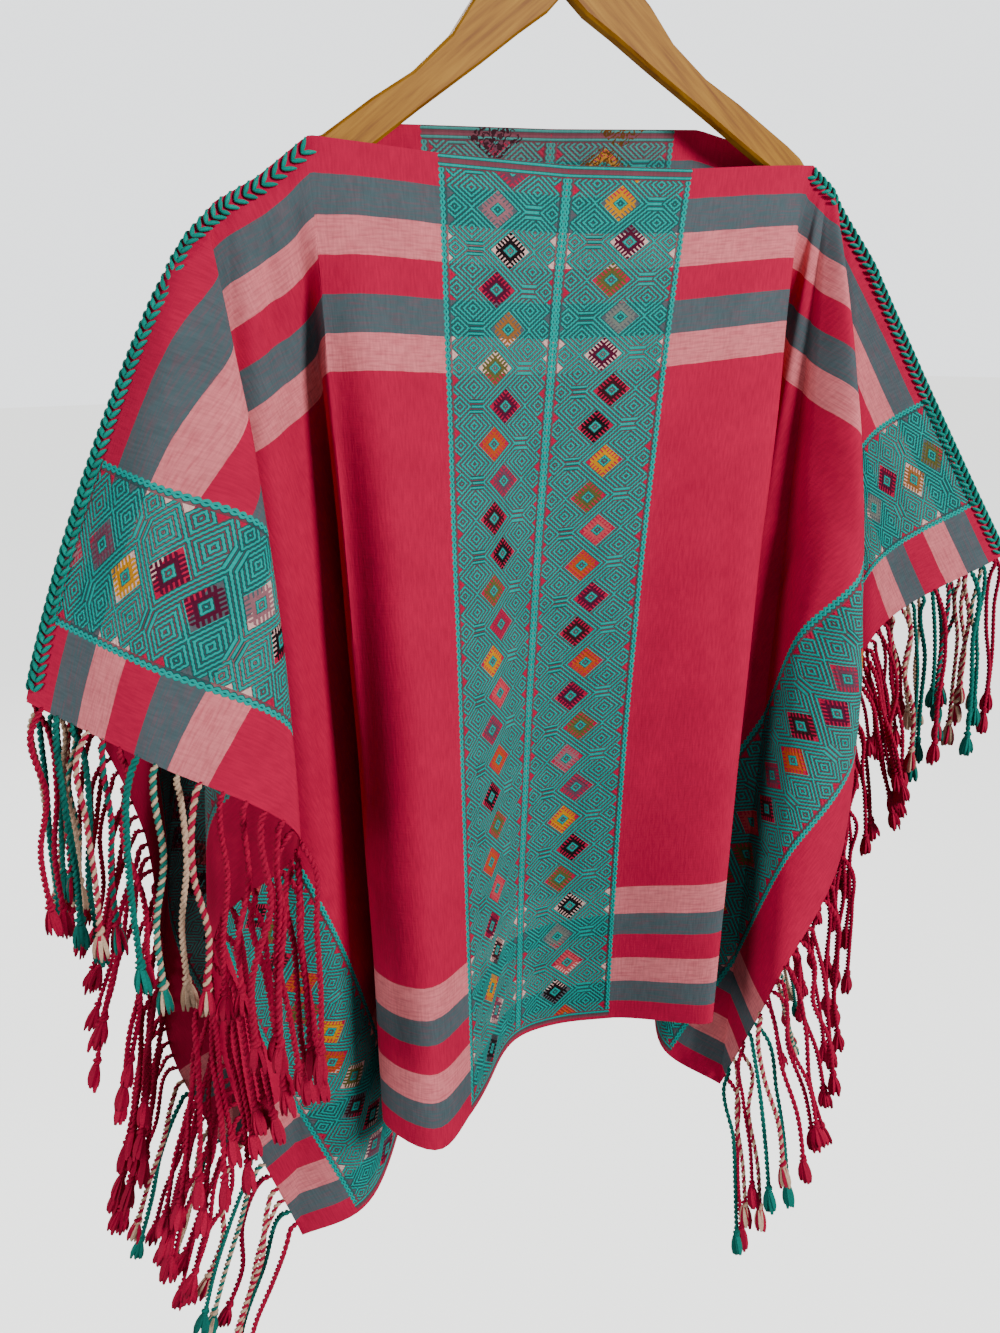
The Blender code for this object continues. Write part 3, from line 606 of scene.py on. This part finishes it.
def twisted_cotton(name, rough=0.85):
    """Two-ply twisted cotton yarn, its colour in the mesh: matt, with fine fibres along the twist."""
    made, tree, shader = new_material(name)
    wires = work_out(tree, {"yarn": add(tree, "Attribute", out="Color", attribute_name="yarn"),
                            "spot": add(tree, "TexCoord", out="Object")}, (
        ("fibres", "spot", "noise", 900.0, 2.0),
        ("tone", "fibres", "range", 0.3, 0.7, 0.78, 1.15),
        ("shade", "yarn", "scale", "tone"),
        ("bump", "fibres", "bump", 0.5, 0.0003)))
    feed(tree, shader, {"Base Color": wires["shade"], "Normal": wires["bump"], "Roughness": rough,
                        "Specular IOR Level": 0.2})
    return made


def beech(name):
    """Planed and varnished beech: pale honey, fine straight grain along the arm, a soft gloss."""
    hanger = bpy.context.scene.poncho_hanger
    made, tree, shader = new_material(name)
    wires = work_out(tree, {"spot": add(tree, "TexCoord", out="Object")}, (
        ("along", "spot", "mirror", "turn", (0.0, math.radians(ARM_SLOPE), 0.0)),
        ("grain", "along", "stretch", (14.0, 150.0, 260.0), "noise", 1.0, 4.0, 0.6),
        ("bump", "grain", "bump", 0.25, 0.0004)))
    shade = add(tree, "ValToRGB", {"Fac": wires["grain"]}, stops=[
        (0.30, tuple(hanger.grain)), (0.48, tuple(hanger.wood)), (0.72, tuple(hanger.streak))])
    feed(tree, shader, {"Base Color": shade, "Normal": wires["bump"], "Roughness": 0.5,
                        "Specular IOR Level": 0.15})
    return made


def drawn_steel(name):
    """Drawn steel wire: bright, with faint scratches."""
    made, tree, shader = new_material(name)
    wires = work_out(tree, {"spot": add(tree, "TexCoord", out="Object")}, (
        ("rough", "spot", "noise", 500.0, 2.0, "range", 0.0, 1.0, 0.22, 0.38),))
    feed(tree, shader, {"Base Color": (*bpy.context.scene.poncho_hanger.steel, 1.0), "Metallic": 1.0,
                        "Roughness": wires["rough"]})
    return made


def panel_parts(panel):
    """The first and last line of each part of a panel, which meet at the outer edges of the centre brocade."""
    flat = sheet_of(panel)[1]
    along_hem = np.where(np.abs(flat[:, -1, 1] - CLOTH_LENGTH) < 1e-6)[0]
    first, last = (along_hem[np.argmin(np.abs(flat[along_hem, -1, 0] - side * 2 * STRIP_HALF))]
                   for side in (-1, 1))
    return {"left": (0, first), "centre": (first, last), "right": (last, len(flat) - 1)}


def outline(grid):
    """Once round the edge of a grid of rows, from its first corner."""
    return [*grid[:, 0], *grid[-1, 1:], *grid[::-1, -1][1:], *grid[0, ::-1][1:-1]]


def cloth_part(panel, part, first, last, material):
    """One part of a panel as a closed thin shell."""
    points, flat, away, _ = sheet_of(panel)
    points, flat, away = points[first:last + 1], flat[first:last + 1], away[first:last + 1]
    half = bpy.context.scene.poncho_cloth.thickness / 2
    lines, levels = points.shape[:2]
    layer = lines * levels
    grid = np.arange(layer).reshape(lines, levels)
    quads = np.stack([grid[:-1, :-1], grid[:-1, 1:], grid[1:, 1:], grid[1:, :-1]], axis=-1).reshape(-1, 4)
    faces = np.stack([quads, quads[:, ::-1] + layer], axis=1).reshape(-1, 4).tolist()
    loop = np.array(outline(grid))
    after = np.roll(loop, -1)
    faces += np.column_stack([loop, after, after + layer, loop + layer]).tolist()
    if panel == "back":
        faces = [face[::-1] for face in faces]
    both = np.stack([points + away * half, points - away * half]).reshape(-1, 3)
    places = np.tile(flat.reshape(-1, 2) * CM, (2, 1))
    inside = np.repeat([0.0, 1.0], layer)
    piece = new_mesh(f"{panel}_cloth_{part}", both, faces, material, flat=places, inside=inside)
    return piece, flat


class ClothPiece:
    """What the two operators for the panels share."""

    def build(self, panel, slot):
        material = woven_cotton(f"hand-woven brocaded cotton, {panel}")
        for part, (first, last) in panel_parts(panel).items():
            piece, flat = cloth_part(panel, part, first, last, material)
            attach(piece, "root")
            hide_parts(f"{panel}_panel")
        return {"FINISHED"}


class OBJECT_OT_poncho_front(ClothPiece, bpy.types.Operator):
    """Hang the front panel in its folds"""
    bl_idname = "object.poncho_front"
    bl_label = "Front panel"

    def execute(self, context):
        return self.build("front", "front_cloth")


class OBJECT_OT_poncho_back(ClothPiece, bpy.types.Operator):
    """Hang the back panel in its folds"""
    bl_idname = "object.poncho_back"
    bl_label = "Back panel"

    def execute(self, context):
        return self.build("back", "back_cloth")


def tube(centres, widths, shade):
    """A closed tube round a path: widths gives each ring's corners about its centre, shade their colours."""
    sides = widths.shape[1]
    run = unit(np.gradient(centres, axis=0))
    across = unit(np.cross(run[0], (0, 0, 1) if abs(run[0, 2]) < 0.9 else (1, 0, 0)))
    frames = []
    for direction in run:
        across = unit(across - direction * float(across @ direction))
        frames.append((across, np.cross(direction, across)))
    frames = np.array(frames)[:, :, None]
    points = centres[:, None] + frames[:, 0] * widths[..., :1] + frames[:, 1] * widths[..., 1:]
    faces = []
    for i in range(len(centres) - 1):
        for k in range(sides):
            a, b = i * sides + k, i * sides + (k + 1) % sides
            faces.append((a, b, b + sides, a + sides))
    faces.append(tuple(range(sides - 1, -1, -1)))
    faces.append(tuple(range((len(centres) - 1) * sides, len(centres) * sides)))
    return points.reshape(-1, 3), faces, np.tile(np.broadcast_to(shade, (sides, 3)), (len(centres), 1))


def joined(parts):
    """Tubes as one mesh: its points, faces and colours."""
    points, faces, shades = zip(*parts)
    starts = np.cumsum([0, *map(len, points)]).tolist()
    moved = [tuple(k + start for k in face) for start, some in zip(starts, faces) for face in some]
    return np.vstack(points), moved, np.vstack(shades)


LOBES = ((0.0, 0.78), (0.72, 1.14), (1.38, 0.86), (1.68, 0.0), (1.38, -0.86), (0.72, -1.14))
LOBES_ACROSS = 3.1  # mean width of the two plies side by side, in the units of LOBES
RING_STEP = 0.0017  # m
KNOT_LENGTH, KNOT_SWELL = 0.006, 0.7  # m, and how much wider than the strand
TEAL_TO = 16.0  # cm below the joined edge, as far as teal is twisted into crimson strands
FRINGE_SEEDS = {("front", "left"): 3, ("front", "right"): 5, ("back", "left"): 7, ("back", "right"): 11}
SWAY_ASIDE, SWAY_OUT = 0.007, 0.003  # m, at most
WISPS, MIDDLE_WISPS = 9, 2
WISP_WIDTHS = np.array([0.0016, 0.0021, 0.0023, 0.0020, 0.0010])  # m, from the knot to the tip
WISP_SQUARE = np.array([(1.0, -0.6), (-1.0, -0.6), (-1.0, 0.6), (1.0, 0.6)])
TASSEL_FLARE = 0.32  # of its length, from the middle to the rim of its bell


def strand_yarns(v, turn, fringe, draw):
    """The two plies of a strand, by the stripe it grows from."""
    crimson, cream, teal = (np.array(getattr(fringe, key)) for key in ("crimson", "cream", "teal"))
    cotton = [cotton for start, cotton in STRIPES if start <= v][-1]
    pairs = {"crimson": ((crimson, crimson * 0.9), (crimson, crimson), (crimson * 1.1, crimson * 0.85)),
             "grey": ((teal, teal * 0.8), (teal, cream), (teal * 1.1, teal)),
             "pink": ((cream, crimson), (cream, cream * 0.9), (crimson, cream))}[cotton]
    if cotton == "crimson" and v < TEAL_TO and turn % 3 == 1:
        return crimson, teal
    return pairs[int(draw.integers(len(pairs)))]


def strand(root, out, hang, face, layer, length, yarns, fringe, draw):
    """One warp end: a two-ply twist, a knot, and a loose tassel."""
    aside = unit(np.cross(hang, face))
    sways = [aside * draw.uniform(-SWAY_ASIDE, SWAY_ASIDE) + face * draw.uniform(-SWAY_OUT, SWAY_OUT)
             for _ in range(2)]
    turn = root + unit(out + hang) * STRAND_TURN + face * layer
    body = length - fringe.tassel
    control = np.array([root - out * 0.001, root + out * 0.005 + face * layer * 0.3, turn,
                        turn + hang * body * 0.35 + sways[0], turn + hang * body * 0.68 + sways[1],
                        turn + hang * body + sways[1] * 0.6])
    stations = run_length(control)
    count = int(stations[-1] / RING_STEP)
    at = np.linspace(0.0, stations[-1], count)
    path = smooth(stations, control, at)
    radius = fringe.cord / LOBES_ACROSS * draw.uniform(0.92, 1.08)
    from_knot = np.abs(stations[-1] - at - KNOT_LENGTH / 2)
    swell = 1 + KNOT_SWELL * np.clip(1 - from_knot / (KNOT_LENGTH * 0.6), 0, 1) ** 0.5
    swell *= np.clip(0.55 + at / 0.008, 0.55, 1.0)
    angle = 2 * np.pi * at / (fringe.twist * draw.uniform(0.9, 1.15)) + draw.uniform(0, 6.28)
    lobes = np.array(LOBES + tuple((-x, -y) for x, y in LOBES))
    turned = np.stack([lobes[:, 0] * np.cos(angle)[:, None] - lobes[:, 1] * np.sin(angle)[:, None],
                       lobes[:, 0] * np.sin(angle)[:, None] + lobes[:, 1] * np.cos(angle)[:, None]], axis=-1)
    parts = [tube(path, turned[:, ::-1] * (radius * swell)[:, None, None],
                  np.repeat([yarns[1], yarns[0]], len(LOBES), axis=0))]
    tip_way = unit(path[-1] - path[-4])
    flare = unit(np.cross(tip_way, face))
    t = np.linspace(0.0, 1.0, 5)
    for wisp in range(WISPS):
        around = 2 * np.pi * wisp / (WISPS - MIDDLE_WISPS) + draw.uniform(-0.3, 0.3)
        middle_wisp = wisp >= WISPS - MIDDLE_WISPS
        way = flare * math.cos(around) + face * 0.7 * math.sin(around)
        reach = fringe.tassel * draw.uniform(0.78, 1.0)
        bell = fringe.tassel * TASSEL_FLARE * (0.35 if middle_wisp else draw.uniform(0.75, 1.05))
        middle = (path[-1] + tip_way * (t * reach)[:, None] - tip_way * 0.002
                  + way * (bell * t ** 0.75 * (1 - 0.25 * t ** 3))[:, None])
        parts.append(tube(middle, WISP_WIDTHS[:, None, None] * WISP_SQUARE,
                          yarns[wisp % 2] * draw.uniform(0.85, 1.12)))
    return joined(parts)


def fringe_piece(panel, side, material):
    """All strands along one side edge of a panel, growing where the frame's strands do."""
    folds, top, _, _ = PANELS[panel]
    lines, flat, marks = drape(folds, top, CAD_STEPS[panel], CAD_LEVELS[panel])
    chosen = slice(marks[0] + 1) if side == "left" else slice(None, marks[1] - 1, -1)
    lines, flat = lines[chosen], flat[chosen]
    fringe = bpy.context.scene.poncho_fringe
    draw = np.random.default_rng(FRINGE_SEEDS[panel, side])
    edge = lines[:, -1]
    along = run_length(edge)
    starts = np.sort(np.concatenate([along[1:-1], (along[:-1] + along[1:]) / 2]))
    run = unit(np.gradient(edge, axis=0))
    out = edge - lines[:, -2]
    out = unit(out - (out * run).sum(axis=1)[:, None] * run)
    face = unit(np.cross(run, out))
    at = read(starts, along, edge)
    run, out, face = (unit(read(starts, along, field)) for field in (run, out, face))
    v = np.interp(starts, along, flat[:, -1, 1])
    around = np.clip(np.arange(len(starts))[:, None] + np.arange(-LEAN_NEIGHBOURS, LEAN_NEIGHBOURS + 1),
                     0, len(starts) - 1)
    away = unit(out[around].mean(axis=1))
    parts = []
    for k in range(len(starts)):
        steep = abs(run[k, 2])
        hang = unit((0, 0, -1) + away[k] * (LEAN_LEAST + (LEAN_STEEP - LEAN_LEAST) * steep ** LEAN_POWER))
        length = STRAND_LENGTHS[k % len(STRAND_LENGTHS)] * draw.uniform(0.93, 1.03)
        parts.append(strand(at[k], out[k], hang, face[k], LAYER * (k % 3 - 1), length,
                            strand_yarns(v[k], k, fringe, draw), fringe, draw))
    points, faces, shades = joined(parts)
    return new_mesh(f"{panel}_fringe_{side}", points, faces, material, yarn=shades, sharp=80)


class OBJECT_OT_poncho_fringes(bpy.types.Operator):
    """Twist and knot the warp ends along the four side edges"""
    bl_idname = "object.poncho_fringes"
    bl_label = "Fringes"

    def execute(self, context):
        material = twisted_cotton("two-ply twisted cotton warp ends")
        for panel in ("front", "back"):
            for side in ("left", "right"):
                piece = fringe_piece(panel, side, material)
                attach(piece, "root")
                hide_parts(f"fringe_{panel}_{side}")
        return {"FINISHED"}


LEAF_WIDTHS = np.array([0.45, 0.85, 1.1, 1.15, 1.0, 0.55])
SEAM_MARGIN = 0.25  # cm that the braid keeps from the neck corner and from the cuff
SEAM_START = 1.0  # cm beside the neck corner, towards the centre, where the seam's line starts
STITCH_LIFT, STITCH_BULGE = 0.4, 0.25  # of the yarn's width
BACK_REACH = 0.6  # of the spine's distance from the edge
STITCH_SEEDS = {"left": 17, "right": 19}
HEXAGON = np.array([(math.cos(h), math.sin(h)) for h in np.arange(6) * math.pi / 3])


def leaf(start, end, bulge, width, shade):
    """One plump stitch from start to end, lifted by bulge in its middle."""
    t = np.linspace(0.0, 1.0, len(LEAF_WIDTHS))[:, None]
    path = start * (1 - t) + end * t + bulge * np.sin(np.pi * t)
    return tube(path, width / 2 * LEAF_WIDTHS[:, None, None] * HEXAGON, shade)


def seam_line(panel, side):
    """Along a joining edge from the neck corner to the cuff: |u|, places, outward and inward directions."""
    points, flat, away, _ = sheet_of(panel)
    sign = -1 if side == "left" else 1
    line = 0 if side == "left" else len(points) - 1
    outside = np.flatnonzero(flat[:, 0, 0] * sign >= abs(NECK[side]) - SEAM_START)
    top = [i for i in outside if i != line][::sign]
    us = np.r_[flat[top, 0, 0], flat[line, :, 0]] * sign
    places = np.vstack([points[top, 0], points[line]])
    outward = np.vstack([away[top, 0], away[line]])
    inward = np.vstack([points[top, 1] - points[top, 0], points[line - sign] - points[line]])
    fresh = np.r_[True, np.diff(us) > 1e-4]
    us, places, outward, inward = us[fresh], places[fresh], outward[fresh], unit(inward[fresh])
    run = unit(np.gradient(places, axis=0))
    inward = unit(inward - run * (inward * run).sum(1, keepdims=True))
    return us, places, outward, inward


def joining_stitches(side, material):
    """A braid of slanting stitches over the seam, in three rows from the front to the back."""
    stitch = bpy.context.scene.poncho_stitch
    corner = abs(NECK[side])
    steps = int((PANEL_HALF - corner - 2 * SEAM_MARGIN) * CM / stitch.pitch * 2)
    at = corner + SEAM_MARGIN + np.arange(steps + 1) * stitch.pitch / CM / 2
    lift = stitch.yarn * STITCH_LIFT + bpy.context.scene.poncho_cloth.thickness / 2
    rows = {}
    for name, panel, reach in (("foot", "front", stitch.reach), ("spine", "front", stitch.spine),
                               ("ridge", "front", 0.0), ("back foot", "back", stitch.spine * BACK_REACH)):
        us, *fields = seam_line(panel, side)
        places, outward, inward = (read(at, us, field) for field in fields)
        rows[name] = places + unit(inward) * reach + unit(outward) * lift, unit(outward)
    draw = np.random.default_rng(STITCH_SEEDS[side])
    teal = np.array(stitch.teal)
    parts = []
    for k in range(0, steps - 1, 2):
        for start, end in (("foot", "spine"), ("ridge", "spine"), ("back foot", "ridge")):
            bulge = rows[start][1][k] * stitch.yarn * STITCH_BULGE
            parts.append(leaf(rows[start][0][k], rows[end][0][k + 2], bulge, stitch.yarn,
                              teal * draw.uniform(0.8, 1.15)))
    points, faces, shades = joined(parts)
    return new_mesh(f"joining_stitch_{side}", points, faces, material, yarn=shades, sharp=70)


class OBJECT_OT_poncho_stitches(bpy.types.Operator):
    """Join the panels over each shoulder with pairs of teal stitches"""
    bl_idname = "object.poncho_stitches"
    bl_label = "Joining stitches"

    def execute(self, context):
        material = twisted_cotton("teal cotton joining yarn", 0.7)
        for side in ("left", "right"):
            piece = joining_stitches(side, material)
            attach(piece, "root")
            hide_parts(f"stitch_{side}")
        return {"FINISHED"}


class OBJECT_OT_poncho_hanger(bpy.types.Operator):
    """Finish the hanger: varnished beech arms and a steel hook"""
    bl_idname = "object.poncho_hanger"
    bl_label = "Hanger"

    def execute(self, context):
        for node, made in (("hanger_arms", beech("planed and varnished beech")),
                           ("hanger_hook", drawn_steel("drawn steel wire"))):
            bpy.data.objects[node].material_slots[0].material = made
        return {"FINISHED"}


CAMERA_PLACE = (-0.382, -0.730, -0.375)
CAMERA_YAW, CAMERA_PITCH, CAMERA_ROLL = 24.26, 17.7, 1.13  # degrees
PHOTO = (1000, 1333)
FOCAL_PIXELS = 1001.0
FILM = 36.0  # mm, on the photograph's long side

SKY_LIGHT, SKY_SEEN = 0.27, 2.5  # its strength on the cloth, and in the picture
FLOOR_GLOW = 2.15  # that the camera alone sees
FLOOR_SIZE, VIEW_END = 60.0, 50.0  # m
LIGHTS = (  # each with its place and aim, its side in m and its power in W
    ("soft_key", (1.35, -2.75, 0.65), (0.0, 0.0, -0.6), 0.8, 124.0),
    ("soft_side", (-2.2, -0.6, -0.7), (0.1, 0.0, -0.7), 1.0, 26.0),
    ("soft_back", (-0.4, 2.6, 0.8), (0.0, 0.0, -0.7), 1.4, 60.0),
)


class SCENE_OT_poncho_stage(bpy.types.Operator):
    """Set the floor, the soft light and the camera"""
    bl_idname = "scene.poncho_stage"
    bl_label = "Stage"

    def execute(self, context):
        stage = context.scene.poncho_stage
        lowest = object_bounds()[0][2]
        deselect()
        bpy.ops.mesh.primitive_plane_add(size=FLOOR_SIZE, location=(0.0, 0.0, lowest - stage.floor_drop))
        floor = context.active_object
        floor.name = "floor"
        bpy.ops.object.transform_apply(location=True)
        made, tree, shader = new_material("matt painted floor")
        wires = work_out(tree, {"spot": add(tree, "TexCoord", out="Object")}, (
            ("bump", "spot", "noise", 40.0, "bump", 0.05, 0.001),))
        pale = (*stage.floor, 1.0)
        feed(tree, shader, {"Normal": wires["bump"], "Base Color": pale, "Roughness": 0.9,
                            "Emission Color": pale, "Emission Strength": FLOOR_GLOW})
        floor.data.materials.append(made)
        # the floor's own glow is for the eye alone: it throws no light on the cloth
        floor.visible_diffuse = False
        floor.visible_glossy = False
        floor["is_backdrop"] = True
        for name, place, aim, side, power in LIGHTS:
            lamp = bpy.data.lights.new(name, "AREA")
            lamp.size = side
            lamp.energy = power
            holder = linked(name, lamp)
            holder.visible_camera = False
            turn = (Vector(aim) - Vector(place)).to_track_quat("-Z", "Y").to_matrix()
            holder.matrix_world = Matrix.Translation(place) @ turn.to_4x4()
        world = bpy.data.worlds.new("soft surroundings")
        world.use_nodes = True
        tree = world.node_tree
        seen = add(tree, "LightPath", out="Is Camera Ray")
        strength = add(tree, "MapRange", {"Value": seen, "To Min": SKY_LIGHT, "To Max": SKY_SEEN})
        feed(tree, tree.nodes["Background"], {"Color": (*stage.sky, 1.0), "Strength": strength})
        context.scene.world = world
        lens = bpy.data.cameras.new("camera")
        lens.sensor_fit = "VERTICAL"
        lens.sensor_height = FILM
        lens.lens = FILM * FOCAL_PIXELS / PHOTO[1]
        lens.clip_end = VIEW_END
        holder = linked("camera", lens)
        yaw, pitch, roll = (math.radians(angle) for angle in (CAMERA_YAW, CAMERA_PITCH, CAMERA_ROLL))
        turn = Euler((math.pi / 2 - pitch, 0.0, -yaw)).to_matrix() @ Matrix.Rotation(-roll, 3, "Z")
        holder.matrix_world = Matrix.Translation(CAMERA_PLACE) @ turn.to_4x4()
        context.scene.camera = holder
        return {"FINISHED"}


class VIEW3D_PT_poncho(bpy.types.Panel):
    """The poncho's pieces, one button each"""
    bl_label = "Poncho"
    bl_idname = "VIEW3D_PT_poncho"
    bl_space_type = "VIEW_3D"
    bl_region_type = "UI"
    bl_category = "Poncho"

    def draw(self, context):
        for group in GROUPS:
            for name in GROUPS[group].__annotations__:
                self.layout.prop(getattr(context.scene, group), name)
        for operator in OPERATORS:
            self.layout.operator(operator.bl_idname)


GROUPS = {"poncho_cloth": PonchoCloth, "poncho_fringe": PonchoFringe, "poncho_stitch": PonchoStitch,
          "poncho_hanger": PonchoHanger, "poncho_stage": PonchoStage}
OPERATORS = (OBJECT_OT_poncho_hanger, OBJECT_OT_poncho_front, OBJECT_OT_poncho_back,
             OBJECT_OT_poncho_stitches, OBJECT_OT_poncho_fringes, SCENE_OT_poncho_stage)


def register():
    for item in (*GROUPS.values(), *OPERATORS, VIEW3D_PT_poncho):
        bpy.utils.register_class(item)
    for name, group in GROUPS.items():
        setattr(bpy.types.Scene, name, bpy.props.PointerProperty(type=group))


def unregister():
    for name in GROUPS:
        delattr(bpy.types.Scene, name)
    for item in (VIEW3D_PT_poncho, *reversed(OPERATORS), *reversed(GROUPS.values())):
        bpy.utils.unregister_class(item)


def main():
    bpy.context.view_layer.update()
    deselect()
    register()
    bpy.ops.object.poncho_hanger()
    bpy.ops.object.poncho_front()
    bpy.ops.object.poncho_back()
    bpy.ops.object.poncho_stitches()
    bpy.ops.object.poncho_fringes()
    bpy.ops.scene.poncho_stage()


if __name__ == "__main__":
    main()
